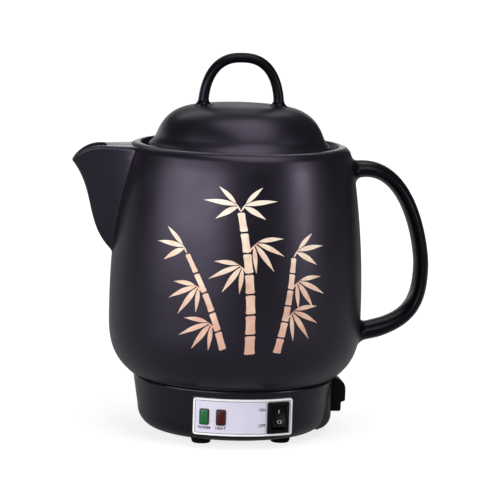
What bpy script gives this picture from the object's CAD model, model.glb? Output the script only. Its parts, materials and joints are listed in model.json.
"""Electric kettle for herbal decoctions, dressed for the studio.

A satin black ceramic pot with a beak spout, a side handle and a looped lid stands on a black plastic
heater base.  The base carries a silver control plate, two lamps, a rocker switch and a power inlet.
Sizes are in millimetres and are turned to metres where a mesh is placed.
"""
import json
import logging
import math
from contextlib import contextmanager
from dataclasses import dataclass
from enum import Enum
from functools import partial
from typing import Callable, Iterator, Sequence

import bpy
from mathutils import Matrix, Vector

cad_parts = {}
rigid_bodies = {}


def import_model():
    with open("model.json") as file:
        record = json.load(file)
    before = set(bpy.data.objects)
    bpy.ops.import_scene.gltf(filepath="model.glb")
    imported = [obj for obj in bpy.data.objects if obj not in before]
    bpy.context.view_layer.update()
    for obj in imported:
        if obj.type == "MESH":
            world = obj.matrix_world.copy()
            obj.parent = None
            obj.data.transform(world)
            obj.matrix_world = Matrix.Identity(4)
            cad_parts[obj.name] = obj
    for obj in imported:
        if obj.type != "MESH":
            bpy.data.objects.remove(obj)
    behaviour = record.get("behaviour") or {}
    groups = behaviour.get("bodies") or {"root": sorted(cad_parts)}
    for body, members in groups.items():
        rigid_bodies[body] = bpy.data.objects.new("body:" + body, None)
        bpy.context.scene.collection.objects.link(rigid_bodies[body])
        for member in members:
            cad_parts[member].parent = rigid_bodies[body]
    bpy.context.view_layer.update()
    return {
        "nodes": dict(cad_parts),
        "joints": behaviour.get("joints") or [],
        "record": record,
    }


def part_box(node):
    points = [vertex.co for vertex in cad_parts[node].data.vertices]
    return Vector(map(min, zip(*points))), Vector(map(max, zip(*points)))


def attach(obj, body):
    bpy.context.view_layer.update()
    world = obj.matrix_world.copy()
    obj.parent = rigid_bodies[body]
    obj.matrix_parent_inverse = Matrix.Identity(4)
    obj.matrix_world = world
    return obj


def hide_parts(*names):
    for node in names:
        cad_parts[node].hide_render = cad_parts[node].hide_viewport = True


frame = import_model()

MM = 0.001
# Distance in millimetres at which points fall together
MERGE = 0.002
LOG = logging.getLogger("kettle")
Point = tuple[float, float]
Piece = bpy.types.Object
Material = bpy.types.Material
Tree = bpy.types.NodeTree
Socket = bpy.types.NodeSocket
Links = dict[str | int, object]


class Body(Enum):
    """Rigid bodies that carry pieces of the scene, by the names that the frame gives them."""

    KETTLE = "kettle"
    LID = "lid"
    ROCKER = "rocker"


class Slot(Enum):
    """Material slots of the record that the pieces take their finish from."""

    GLAZE = "glaze"
    BASE = "base_plastic"
    FOOT = "foot_rubber"
    PANEL = "panel_foil"
    GREEN = "green_lens"
    RED = "red_lens"
    SWITCH = "switch_plastic"
    INLET = "inlet_plastic"


@dataclass(frozen=True)
class NodeBox:
    """Box of one CAD node at rest, in millimetres.

    Attributes:
        low: Lowest corner.
        high: Highest corner.
    """

    low: Vector
    high: Vector

    @classmethod
    def of(cls, node: str) -> "NodeBox":
        """Read a node's box from the frame.

        Args:
            node: Name of the CAD node.

        Returns:
            The box in millimetres.
        """
        low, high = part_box(node)
        return cls(Vector(low) / MM, Vector(high) / MM)

    @property
    def size(self) -> Vector:
        """Edge lengths of the box."""
        return self.high - self.low

    @property
    def middle(self) -> Vector:
        """Centre of the box."""
        return (self.high + self.low) / 2


def linear(code: str) -> tuple[float, float, float, float]:
    """Turn an sRGB hex colour into the linear values that shaders use.

    Args:
        code: Colour such as "#2a262d".

    Returns:
        Linear red, green, blue and an alpha of one.
    """
    parts = [int(code[i:i + 2], 16) / 255 for i in (1, 3, 5)]
    red, green, blue = (c / 12.92 if c <= 0.04045 else ((c + 0.055) / 1.055) ** 2.4 for c in parts)
    return red, green, blue, 1.0


def blend(start: float, end: float, share: float) -> float:
    """Value between two others.

    Args:
        start: Value at share 0.
        end: Value at share 1.
        share: Place between them.

    Returns:
        The blended value.
    """
    return start + (end - start) * share


def held(share: float) -> float:
    """Share held between 0 and 1."""
    return min(max(share, 0.0), 1.0)


def ease(share: float) -> float:
    """Smooth step of a share held between 0 and 1."""
    share = held(share)
    return share * share * (3 - 2 * share)


def last_held(low: float, high: float, holds: Callable[[float], bool]) -> float:
    """Largest value at which something holds.

    Args:
        low: Value at which it holds.
        high: Value at which it no longer holds.
        holds: Tells whether it holds at a value.

    Returns:
        The value, to a millionth of the span.
    """
    for _ in range(20):
        middle = (low + high) / 2
        low, high = (middle, high) if holds(middle) else (low, middle)
    return low


def bezier(points: Sequence[Vector], share: float) -> Vector:
    """Point on a cubic curve.

    Args:
        points: Its four control points.
        share: Place along it, from 0 to 1.

    Returns:
        The point.
    """
    rest = 1 - share
    weights = (rest ** 3, 3 * rest * rest * share, 3 * rest * share * share, share ** 3)
    return sum((p * w for p, w in zip(points, weights)), Vector((0, 0, 0)))


def arc(centre: Point, radius: float, start: float, end: float, steps: int) -> list[Point]:
    """Points on a round stretch of an outline.

    Args:
        centre: Centre of the round.
        radius: Its radius.
        start: First angle in degrees.
        end: Last angle in degrees.
        steps: Number of steps between them.

    Returns:
        The points, both ends included.
    """
    angles = [math.radians(blend(start, end, i / steps)) for i in range(steps + 1)]
    return [(centre[0] + radius * math.cos(a), centre[1] + radius * math.sin(a)) for a in angles]


def deselect() -> None:
    """Clear the selection, so that an operator reaches one piece only."""
    for other in bpy.context.view_layer.objects:
        other.select_set(False)


def focus(piece: Piece) -> Piece:
    """Make one object the only selected and active one.

    Args:
        piece: The object.

    Returns:
        The same object.
    """
    deselect()
    piece.select_set(True)
    bpy.context.view_layer.objects.active = piece
    return piece


@contextmanager
def editing(piece: Piece) -> Iterator[None]:
    """Edit mode on one object with all of its mesh selected.

    Args:
        piece: The object to edit.

    Yields:
        Nothing: the operators inside work on the piece.
    """
    focus(piece)
    bpy.ops.object.mode_set(mode="EDIT")
    bpy.ops.mesh.select_all(action="SELECT")
    try:
        yield
    finally:
        bpy.ops.object.mode_set(mode="OBJECT")


class Part(Enum):
    """Parts of a mesh that can be picked."""

    EDGES = "edges"
    FACES = "polygons"


@contextmanager
def picked(piece: Piece, part: Part, wanted: Callable[[object], bool]) -> Iterator[None]:
    """Edit mode on one object with some of its edges or faces selected.

    Args:
        piece: The object to edit.
        part: What is picked.
        wanted: Tells whether one edge or face is picked.

    Yields:
        Nothing: the operators inside work on what is picked.
    """
    focus(piece)
    bpy.context.tool_settings.mesh_select_mode = (False, part is Part.EDGES, part is Part.FACES)
    mesh = piece.data
    for items in (mesh.vertices, mesh.edges, mesh.polygons):
        items.foreach_set("select", [False] * len(items))
    for item in getattr(mesh, part.value):
        item.select = wanted(item)
    bpy.ops.object.mode_set(mode="EDIT")
    try:
        yield
    finally:
        bpy.ops.object.mode_set(mode="OBJECT")


def coat(piece: Piece, material: Material, wanted: Callable[[object], bool]) -> None:
    """Give some faces of a piece a second material.

    Args:
        piece: The piece.
        material: The second material.
        wanted: Tells whether a face takes it.
    """
    piece.data.materials.append(material)
    with picked(piece, Part.FACES, wanted):
        piece.active_material_index = len(piece.data.materials) - 1
        bpy.ops.object.material_slot_assign()


def settle(piece: Piece, name: str) -> Piece:
    """Name a piece and move its place into its vertices.

    Args:
        piece: The object.
        name: Its name.

    Returns:
        The same object, at the origin with no turn or scale.
    """
    piece.name = name
    piece.data.name = name
    piece.data.transform(piece.matrix_world)
    piece.matrix_world = Matrix.Identity(4)
    return piece


def tidy_faces(piece: Piece, close: bool = False) -> None:
    """Merge points that fall together and turn all faces outwards.

    Args:
        piece: The object.
        close: Whether its open ends are filled.
    """
    with editing(piece):
        bpy.ops.mesh.remove_doubles(threshold=MERGE * MM)
        if close:
            bpy.ops.mesh.fill_holes(sides=0)
        bpy.ops.mesh.normals_make_consistent(inside=False)


def use_modifier(piece: Piece, kind: str, **values: object) -> None:
    """Add a modifier, set it and apply it.

    Args:
        piece: The object.
        kind: Blender's name of the modifier's type.
        **values: Settings of the modifier.
    """
    focus(piece)
    modifier = piece.modifiers.new(kind.title(), kind)
    for key, value in values.items():
        setattr(modifier, key, value)
    bpy.ops.object.modifier_apply(modifier=modifier.name)


def round_edges(piece: Piece, width: float, segments: int = 3, angle: float = 40) -> None:
    """Round the sharp edges of a piece.

    Args:
        piece: The object.
        width: Width of the round in millimetres.
        segments: Number of faces across it.
        angle: Least angle of an edge that is rounded, in degrees.
    """
    use_modifier(piece, "BEVEL", width=width * MM, segments=segments, limit_method="ANGLE",
                 angle_limit=math.radians(angle), harden_normals=False)


def cut(piece: Piece, *tools: Piece) -> None:
    """Cut other solids out of a piece and remove them.

    Args:
        piece: The object that is cut.
        *tools: The solids that cut it.
    """
    for tool in tools:
        use_modifier(piece, "BOOLEAN", operation="DIFFERENCE", solver="EXACT", object=tool)
        bpy.data.objects.remove(tool)


def fuse(piece: Piece, other: Piece) -> None:
    """Make another solid one with a piece and remove it.

    Args:
        piece: The object that stays.
        other: The solid that goes into it.
    """
    use_modifier(piece, "BOOLEAN", operation="UNION", solver="EXACT", object=other)
    bpy.data.objects.remove(other)


def join(first: Piece, *others: Piece) -> Piece:
    """Join meshes into one piece.

    Args:
        first: The object that stays.
        *others: The objects that go into it.

    Returns:
        The first object.
    """
    focus(first)
    for other in others:
        other.select_set(True)
    bpy.ops.object.join()
    return first


def twin(piece: Piece, name: str, move: Matrix) -> Piece:
    """Copy a piece with a mesh of its own.

    Args:
        piece: The object.
        name: Name of the copy.
        move: Turn and shift of the copy, in metres.

    Returns:
        The copy.
    """
    copy = piece.copy()
    copy.data = piece.data.copy()
    copy.name = copy.data.name = name
    copy.data.transform(move)
    bpy.context.scene.collection.objects.link(copy)
    return copy


def shade(piece: Piece, angle: float = 35) -> None:
    """Shade a piece smooth, with creases at its sharp edges.

    Args:
        piece: The object.
        angle: Angle of the sharpest smooth edge, in degrees.
    """
    focus(piece)
    bpy.ops.object.shade_smooth_by_angle(angle=math.radians(angle))


def lathe(name: str, outline: Sequence[Point], axis_x: float, steps: int = 128) -> Piece:
    """Spin a closed outline round an upright axis.

    Args:
        name: Name of the piece.
        outline: Radius and height of each point, in order.
        axis_x: Place of the axis.
        steps: Number of steps of the turn.

    Returns:
        The turned solid.
    """
    deselect()
    bpy.ops.mesh.primitive_circle_add(vertices=len(outline))
    piece = settle(bpy.context.object, name)
    for vertex, (radius, z) in zip(piece.data.vertices, outline):
        vertex.co = Vector((axis_x + radius, 0, z)) * MM
    with editing(piece):
        bpy.ops.mesh.spin(steps=steps, angle=2 * math.pi, center=(axis_x * MM, 0, 0), axis=(0, 0, 1))
    tidy_faces(piece)
    return piece


def wrap_grid(name: str, across: int, along: int, place: Callable[[float, float], Vector]) -> Piece:
    """Lay a flat grid on a surface.

    Args:
        name: Name of the piece.
        across: Faces across the grid.
        along: Faces along it.
        place: Gives the place in millimetres for a share across and a share along.

    Returns:
        The open sheet.
    """
    deselect()
    bpy.ops.mesh.primitive_grid_add(x_subdivisions=across, y_subdivisions=along, size=2)
    piece = settle(bpy.context.object, name)
    for vertex in piece.data.vertices:
        u, v = (vertex.co.x + 1) / 2, (vertex.co.y + 1) / 2
        vertex.co = place(round(u * across) / across, round(v * along) / along) * MM
    return piece


def loft(name: str, rings: Sequence[Sequence[Vector]]) -> Piece:
    """Skin a row of rings and close both ends.

    Args:
        name: Name of the piece.
        rings: Rings of places in millimetres, all with the same number of points.

    Returns:
        The closed solid.
    """
    sides, runs = len(rings[0]), len(rings) - 1
    piece = wrap_grid(name, sides, runs, lambda u, v: rings[round(v * runs)][round(u * sides) % sides])
    tidy_faces(piece, close=True)
    return piece


def block(name: str, size: Sequence[float], middle: Sequence[float], turn: Matrix = Matrix()) -> Piece:
    """Box of a size at a place.

    Args:
        name: Name of the piece.
        size: Its edge lengths in millimetres.
        middle: Its centre in millimetres.
        turn: Turn and shift that is applied after that, with the shift in millimetres.

    Returns:
        The box.
    """
    deselect()
    bpy.ops.mesh.primitive_cube_add(size=1)
    piece = settle(bpy.context.object, name)
    for vertex in piece.data.vertices:
        corner = Vector([c * s + m for c, s, m in zip(vertex.co, size, middle)])
        vertex.co = (turn @ corner) * MM
    return piece


def rod(name: str, radius: float, low: Vector, high: Vector, sides: int = 48) -> Piece:
    """Round bar between two places.

    Args:
        name: Name of the piece.
        radius: Its radius in millimetres.
        low: Centre of its first end, in millimetres.
        high: Centre of its second end, in millimetres.
        sides: Number of its sides.

    Returns:
        The bar.
    """
    deselect()
    way = high - low
    bpy.ops.mesh.primitive_cylinder_add(vertices=sides, radius=radius * MM, depth=way.length * MM)
    piece = bpy.context.object
    turn = way.to_track_quat("Z", "Y").to_matrix().to_4x4()
    piece.matrix_world = Matrix.Translation((low + high) / 2 * MM) @ turn
    return settle(piece, name)


def dress(piece: Piece, paint: Material | None, body: Body,
          slot: Slot | None = None, nodes: Sequence[str] = (), angle: float = 35) -> Piece:
    """Give a piece its finish, its body and the CAD nodes that it stands for.

    Args:
        piece: The object.
        paint: Its material; None keeps the materials that it has.
        body: Body that it moves with.
        slot: Material slot of the record.
        nodes: CAD nodes that it stands for.
        angle: Angle of the sharpest smooth edge, in degrees.

    Returns:
        The same object.
    """
    if paint is not None:
        piece.data.materials.clear()
        piece.data.materials.append(paint)
    shade(piece, angle)
    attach(piece, body.value)
    if nodes:
        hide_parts(*nodes)
    LOG.info("%s: %d faces", piece.name, len(piece.data.polygons))
    return piece


def node(tree: Tree, kind: str, links: Links, **settings: object) -> bpy.types.Node:
    """Add a node with its settings and links.

    Args:
        tree: Node tree that it goes into.
        kind: Blender's name of the node's type.
        links: Value or source socket of each input.
        **settings: Settings of the node itself.

    Returns:
        The node.
    """
    made = tree.nodes.new(kind)
    for key, value in settings.items():
        setattr(made, key, value)
    for key, value in links.items():
        if isinstance(value, Socket):
            tree.links.new(value, made.inputs[key])
        else:
            made.inputs[key].default_value = value
    return made


@dataclass(frozen=True)
class Finish:
    """Surface of one kind of piece.

    Attributes:
        name: Name of the material.
        colour: Main colour.
        rough: Roughness.
        metal: Share of metal.
        ior: Index of refraction.
        sheen: Colour of the mirrored light.
        other: Second colour that the main one drifts to; empty for none.
        patch: Size of a patch of the drift in millimetres.
        grain: Size of the fine grain in millimetres; 0 for none.
        relief: Height of the grain in millimetres.
        uneven: How far the roughness drifts to each side.
    """

    name: str
    colour: str
    rough: float
    metal: float = 0.0
    ior: float = 1.5
    sheen: str = "#ffffff"
    other: str = ""
    patch: float = 20.0
    grain: float = 0.0
    relief: float = 0.01
    uneven: float = 0.0

    def material(self) -> Material:
        """Make the material, or give the one that is there.

        Returns:
            The material.
        """
        made = bpy.data.materials.get(self.name)
        if made is None:
            made = bpy.data.materials.new(self.name)
            made.use_nodes = True
            tree = made.node_tree
            tree.nodes.clear()
            place = node(tree, "ShaderNodeTexCoord", {}).outputs["Object"]
            shader = node(tree, "ShaderNodeBsdfPrincipled", self.sockets(tree, place))
            node(tree, "ShaderNodeOutputMaterial", {"Surface": shader.outputs["BSDF"]})
        return made

    def sockets(self, tree: Tree, place: Socket) -> Links:
        """Values and patterns for the shader's sockets.

        Args:
            tree: Node tree of the material.
            place: Place on the piece.

        Returns:
            Value or source for each socket.
        """
        found = {
            "Base Color": linear(self.colour), "Roughness": self.rough, "Metallic": self.metal,
            "IOR": self.ior, "Specular Tint": linear(self.sheen),
        }
        if self.other:
            drift = node(tree, "ShaderNodeTexNoise", {"Vector": place, "Scale": 1 / (self.patch * MM)})
            share = node(tree, "ShaderNodeMapRange", {
                "Value": drift.outputs["Fac"], "From Min": 0.35, "From Max": 0.65})
            mixed = node(tree, "ShaderNodeMix", {
                0: share.outputs["Result"], 6: linear(self.colour), 7: linear(self.other)}, data_type="RGBA")
            found["Base Color"] = mixed.outputs[2]
        if self.uneven:
            drift = node(tree, "ShaderNodeTexNoise", {"Vector": place, "Scale": 1.4 / (self.patch * MM)})
            rough = node(tree, "ShaderNodeMapRange", {
                "Value": drift.outputs["Fac"], "From Min": 0.3, "From Max": 0.7,
                "To Min": self.rough - self.uneven, "To Max": self.rough + self.uneven})
            found["Roughness"] = rough.outputs["Result"]
        if self.grain:
            fine = node(tree, "ShaderNodeTexNoise", {"Vector": place, "Scale": 1 / (self.grain * MM)})
            raised = node(tree, "ShaderNodeBump", {
                "Height": fine.outputs["Fac"], "Distance": self.relief * MM})
            found["Normal"] = raised.outputs["Normal"]
        return found


@dataclass(frozen=True)
class GiltFinish(Finish):
    """Gilt print that runs from cream to rose gold down the pot.

    Attributes:
        low_z: Height of the rosy end in millimetres.
        high_z: Height of the cream end in millimetres.
        rose: Colour at the rosy end.
        cream: Colour at the cream end.
        cloud: Size of a cloud in the run of colour, in millimetres.
    """

    low_z: float = 0.0
    high_z: float = 1.0
    rose: str = "#c99a80"
    cream: str = "#f0e0c8"
    cloud: float = 9.0

    def sockets(self, tree: Tree, place: Socket) -> Links:
        """Lay the run of colour over the plain finish, with its arguments and result."""
        found = super().sockets(tree, place)
        height = node(tree, "ShaderNodeSeparateXYZ", {"Vector": place})
        run = node(tree, "ShaderNodeMapRange", {
            "Value": height.outputs["Z"], "From Min": self.low_z * MM, "From Max": self.high_z * MM})
        clouds = node(tree, "ShaderNodeTexNoise", {"Vector": place, "Scale": 1 / (self.cloud * MM)})
        drift = node(tree, "ShaderNodeMapRange", {
            "Value": clouds.outputs["Fac"], "From Min": 0.3, "From Max": 0.7, "To Min": -0.3, "To Max": 0.3})
        total = node(tree, "ShaderNodeMath", {
            0: run.outputs["Result"], 1: drift.outputs["Result"]}, operation="ADD")
        mixed = linear(self.rose)
        for start, end, code in ((0.1, 0.55, self.colour), (0.55, 1.0, self.cream)):
            share = node(tree, "ShaderNodeMapRange", {
                "Value": total.outputs["Value"], "From Min": start, "From Max": end})
            mixed = node(tree, "ShaderNodeMix", {
                0: share.outputs["Result"], 6: mixed, 7: linear(code)}, data_type="RGBA").outputs[2]
        found["Base Color"] = mixed
        return found


@dataclass(frozen=True)
class BrushedFinish(Finish):
    """Foil with fine upright brush lines.

    Attributes:
        line: Width of a brush line in millimetres.
        run: Length of a brush line in millimetres.
        depth: Depth of a brush line in millimetres.
    """

    line: float = 0.17
    run: float = 5.0
    depth: float = 0.004

    def sockets(self, tree: Tree, place: Socket) -> Links:
        """Add the brush lines to the plain finish, with its arguments and result."""
        found = super().sockets(tree, place)
        narrow = 1 / (self.line * MM)
        drawn = node(tree, "ShaderNodeMapping", {
            "Vector": place, "Scale": (narrow, narrow, 1 / (self.run * MM))})
        lines = node(tree, "ShaderNodeTexNoise", {
            "Vector": drawn.outputs["Vector"], "Scale": 1.0, "Detail": 4.0})
        raised = node(tree, "ShaderNodeBump", {"Height": lines.outputs["Fac"], "Distance": self.depth * MM})
        found["Normal"] = raised.outputs["Normal"]
        return found


@dataclass(frozen=True)
class LensFinish(Finish):
    """Tinted lens that lets a little light in.

    Attributes:
        clear: Share of the light that goes through.
    """

    clear: float = 0.15

    def sockets(self, tree: Tree, place: Socket) -> Links:
        """Let some light through the plain finish, with its arguments and result."""
        return {**super().sockets(tree, place), "Transmission Weight": self.clear}


@dataclass(frozen=True)
class PotForm:
    """Shape of the pot, with its place and reach from the frame and the rest in millimetres.

    Attributes:
        axis_x: Place of the pot's axis.
        foot_z: Height of its foot.
        rim_z: Height of its rim.
        belly_r: Largest radius.
        belly_h: Height of the widest place above the foot.
        belly_power: How square the lower belly is.
        foot_r: Radius of the foot.
        neck_r: Radius where the rim starts.
        neck_drop: Depth of the neck below the rim.
        rim_in: How far the middle of the rim's round lies inside the neck.
        rim_round: Radius of the rim's outer round.
        rim_turn: Angle above level at which that round starts, in degrees.
        rim_edge: Radius of the rim's inner round.
        rim_r: Radius of the rim's inner face.
        wall: Thickness of the wall.
        floor_t: Thickness of the floor.
        recess_r: Radius of the recess under the floor.
        recess_d: Depth of that recess.
        ledge_r: Radius of the lid's ledge.
        ledge_d: Depth of the ledge below the rim.
        ledge_t: Thickness of the ledge.
        mouth_r: Radius of the mouth.
    """

    axis_x: float
    foot_z: float
    rim_z: float
    belly_r: float
    belly_h: float = 50.0
    belly_power: float = 3.9
    foot_r: float = 72.0
    neck_r: float = 80.0
    neck_drop: float = 11.0
    rim_in: float = 8.6
    rim_round: float = 7.2
    rim_turn: float = 12.0
    rim_edge: float = 1.2
    rim_r: float = 69.4
    wall: float = 5.5
    floor_t: float = 6.0
    recess_r: float = 56.0
    recess_d: float = 5.0
    ledge_r: float = 65.5
    ledge_d: float = 10.0
    ledge_t: float = 6.0
    mouth_r: float = 58.0

    @classmethod
    def from_frame(cls) -> "PotForm":
        """Take place, height and width from the pot's CAD node."""
        box = NodeBox.of("pot_body")
        return cls(box.middle.x, box.low.z, box.high.z, box.size.x / 2)

    @property
    def belly_z(self) -> float:
        """Height of the widest place."""
        return self.foot_z + self.belly_h

    @property
    def neck_z(self) -> float:
        """Height of the neck."""
        return self.rim_z - self.neck_drop

    def outer_r(self, z: float) -> float:
        """Outer radius at a height.

        Args:
            z: The height.

        Returns:
            The radius.
        """
        if z < self.belly_z:
            share = min((self.belly_z - z) / self.belly_h, 1.0)
            return self.belly_r - (self.belly_r - self.foot_r) * share ** self.belly_power
        share = (z - self.belly_z) / (self.neck_z - self.belly_z)
        return self.belly_r - (self.belly_r - self.neck_r) * share * share

    def skin_r(self, z: float) -> float:
        """Outer radius at a height, with the rim's round.

        Args:
            z: The height.

        Returns:
            The radius.
        """
        if z < self.neck_z:
            return self.outer_r(z)
        turn = math.radians(self.rim_turn)
        start_z = self.rim_z - self.rim_round * (1 - math.sin(turn))
        start_r = self.neck_r - self.rim_in + self.rim_round * math.cos(turn)
        if z < start_z:
            return blend(self.neck_r, start_r, (z - self.neck_z) / (start_z - self.neck_z))
        above = z - self.rim_z + self.rim_round
        return self.neck_r - self.rim_in + math.sqrt(max(self.rim_round ** 2 - above ** 2, 0.0))

    def front(self, across: float, z: float, off: float = 0.0) -> Vector:
        """Place on the front of the pot.

        Args:
            across: Length along the surface from the front's middle, to the right.
            z: Height.
            off: Distance from the surface.

        Returns:
            The place.
        """
        radius = self.outer_r(z)
        angle = across / radius
        reach = radius + off
        return Vector((self.axis_x + reach * math.sin(angle), -reach * math.cos(angle), z))

    def outline(self) -> list[Point]:
        """Closed outline of the pot's wall, from the foot up the outside and down the inside."""
        steps = 26
        edge = 1.5
        lower = [self.belly_z - self.belly_h * math.cos(math.pi / 2 * i / steps) for i in range(1, steps + 1)]
        upper = [blend(self.belly_z, self.neck_z, i / steps) for i in range(1, steps + 1)]
        ledge_z = self.rim_z - self.ledge_d
        throat_z = ledge_z - self.ledge_t
        floor_z = self.foot_z + self.recess_d + self.floor_t
        turn = 20.0
        shoulder = 8.0
        turn_z = floor_z + turn
        turn_r = self.outer_r(turn_z) - self.wall - turn
        inner = [blend(throat_z - shoulder, turn_z, i / steps) for i in range(steps + 1)]
        middle = (self.neck_r - self.rim_in, self.rim_z - self.rim_round)
        return [
            (self.recess_r, self.foot_z + self.recess_d), (self.recess_r, self.foot_z + edge),
            (self.recess_r + edge, self.foot_z), (self.foot_r - edge, self.foot_z),
            (self.foot_r - edge / 4, self.foot_z + edge / 4),
            *((self.outer_r(z), z) for z in lower + upper if z > self.foot_z + edge / 2),
            *arc(middle, self.rim_round, self.rim_turn, 86, 14),
            *arc((self.rim_r + self.rim_edge, self.rim_z - self.rim_edge), self.rim_edge, 90, 180, 8),
            (self.ledge_r, ledge_z + edge / 2), (self.ledge_r - edge / 2, ledge_z),
            *arc((self.mouth_r + edge, ledge_z - edge), edge, 90, 180, 5),
            *arc((self.mouth_r + edge, throat_z + edge), edge, 180, 250, 5),
            *((self.outer_r(z) - self.wall, z) for z in inner),
            *arc((turn_r, turn_z), turn, -10, -90, 12),
            *self.floor_line(floor_z),
        ]

    def floor_line(self, floor_z: float) -> list[Point]:
        """Outline of the boss in the floor and of the recess under it.

        Args:
            floor_z: Height of the floor inside.

        Returns:
            Its points from the floor inwards and out again below.
        """
        boss_r, boss_h, soft = 14.0, 5.0, 2.0
        top = floor_z + boss_h
        return [
            (boss_r + boss_h + soft, floor_z), (boss_r + boss_h, floor_z + soft / 3),
            (boss_r + soft / 2, top - soft / 3), (boss_r - soft, top), (0, top),
            (0, self.foot_z + self.recess_d),
        ]


@dataclass(frozen=True)
class SpoutForm:
    """Beak of the pot as a height field over its width and height.

    Attributes:
        pot: The pot that carries it.
        reach: Reach of the tip from the pot's axis.
        top_z: Height of the roof.
        tip_drop: Height of the tip below the pot's rim.
        length: Run from the rim down to the lower end.
        width: Width where it leaves the pot.
        roof_run: Run of the level roof from the neck.
        mouth_run: Run of the roof from the neck to the mouth.
        wall: Thickness of its wall.
        lip: Thickness of its wall round the mouth.
        fillet: Softness of the join to the pot.
        skirt: How far the piece runs on over the pot.
        start_rate: How fast its front leaves the pot at the lower end.
        tip_power: How late its front swings out to the tip.
        tip_share: Share of that swing in the whole front.
        front_wall: Thickness of its front over that of its sides.
        side_power: How round its section is.
        slope_power: How late the roof falls to the tip.
        side_lift: How much less the roof falls at its sides.
    """

    pot: PotForm
    reach: float
    top_z: float
    tip_drop: float = 13.0
    length: float = 78.0
    width: float = 43.0
    roof_run: float = 17.0
    mouth_run: float = 14.0
    wall: float = 4.0
    lip: float = 5.5
    fillet: float = 15.0
    skirt: float = 14.0
    start_rate: float = 4.0
    tip_power: float = 4.3
    tip_share: float = 0.4
    front_wall: float = 1.15
    side_power: float = 1.9
    slope_power: float = 2.14
    side_lift: float = 0.25

    @classmethod
    def from_frame(cls, pot: PotForm) -> "SpoutForm":
        """Take reach and height from the spout's CAD node.

        Args:
            pot: The pot that carries it.

        Returns:
            The form.
        """
        box = NodeBox.of("pot_spout")
        return cls(pot, pot.axis_x - box.low.x + 1.2, box.high.z - 1.6)

    @property
    def low_z(self) -> float:
        """Height of the lower end."""
        return self.pot.rim_z - self.length

    @property
    def tip_z(self) -> float:
        """Height of the tip."""
        return self.pot.rim_z - self.tip_drop

    def pot_x(self, y: float, z: float) -> float:
        """Reach of the pot's own wall at a place across and a height."""
        radius = self.pot.skin_r(z)
        return math.sqrt(radius * radius - y * y)

    def spread(self, rise: float) -> float:
        """Share of the full width at a share of the height, with a soft end to its growth."""
        grown, soft = 1.05 * (rise + 0.03) ** 0.85, 0.3
        share = held(0.5 + 0.5 * (1 - grown) / soft)
        return blend(1.0, grown, share) - soft * share * (1 - share)

    def nose_x(self, y: float, z: float, inset: float) -> float:
        """Reach of the beak alone.

        Args:
            y: Place across.
            z: Height.
            inset: Distance inside the outer face.

        Returns:
            The reach from the axis.
        """
        share = (z - self.low_z) / (self.tip_z - self.low_z)
        rise = max(share, 0.0)
        start = self.pot.outer_r(self.low_z) - 1
        bulge = (1 - math.exp(-self.start_rate * rise)) / (1 - math.exp(-self.start_rate))
        swing = blend(bulge, rise ** self.tip_power, self.tip_share)
        tip = start + (self.reach - start) * swing - self.front_wall * inset
        half = max(self.width / 2 * self.spread(rise) - inset, 0.4)
        root = self.pot.neck_r - 3 * self.pot.wall
        below = max(self.low_z - z, 0.0)
        return tip - below - (tip - root) * (abs(y) / half) ** self.side_power

    def half_at(self, x: float, z: float, inset: float) -> float:
        """Half width of the beak alone at a reach.

        Args:
            x: Reach from the axis.
            z: Height.
            inset: Distance inside the outer face.

        Returns:
            The half width.
        """
        return last_held(0.0, self.width / 2, lambda y: self.nose_x(y, z, inset) > x)

    def face_x(self, y: float, z: float, inset: float) -> float:
        """Reach of beak and pot with a soft join between them.

        Args:
            y: Place across.
            z: Height.
            inset: Distance inside the outer face.

        Returns:
            The reach from the axis.
        """
        wall, nose = self.pot_x(y, z), self.nose_x(y, z, inset)
        soft = blend(3.0, self.fillet, ease((z - self.low_z) / (self.tip_z - self.low_z)))
        share = held(0.5 + 0.5 * (nose - wall) / soft)
        if share == 0.0:
            return wall - 0.04
        return blend(wall, nose, share) + soft * share * (1 - share)

    def top_at(self, x: float, y: float) -> float:
        """Height of the roof and of the sloping mouth.

        Args:
            x: Reach from the axis.
            y: Place across.

        Returns:
            The height.
        """
        roof_x = self.pot.neck_r + self.roof_run
        slope = min(max(x - roof_x, 0.0) / (self.reach - roof_x), 1.1)
        side = min(2 * abs(y) / self.width, 1.2) ** 2
        fall = slope ** self.slope_power * (1 - self.side_lift * side)
        return self.top_z - (self.top_z - self.tip_z) * fall

    def edge_z(self, y: float, inset: float, drop: float) -> float:
        """Height at which the outer face meets the top.

        Args:
            y: Place across.
            inset: Distance inside the outer face.
            drop: Distance below the top face.

        Returns:
            The height.
        """
        return last_held(self.low_z, self.top_z + self.roof_run,
                         lambda z: self.top_at(self.face_x(y, z, inset), y) - drop > z)

    def ring(self, share: float, inset: float, drop: float) -> list[Vector]:
        """One closed ring of the beak.

        Args:
            share: Place from the lower end to the top.
            inset: Distance inside the outer face.
            drop: Distance below the top face.

        Returns:
            Places along the outer face and back through the pot's wall.
        """
        columns = 96
        half = self.width / 2 + self.skirt - inset
        sunk, closing = 3.0, 0.06 * inset
        outer, back = [], []
        for i in range(columns + 1):
            y = half * (2 * i / columns - 1)
            z = blend(self.low_z - self.skirt, self.edge_z(y, inset, drop), share)
            outer.append(Vector((self.pot.axis_x - self.face_x(y, z, inset) + closing, y, z)))
            back.append(Vector((self.pot.axis_x - self.pot_x(y, z) + sunk - closing, y, z)))
        return outer + back[::-1]

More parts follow.
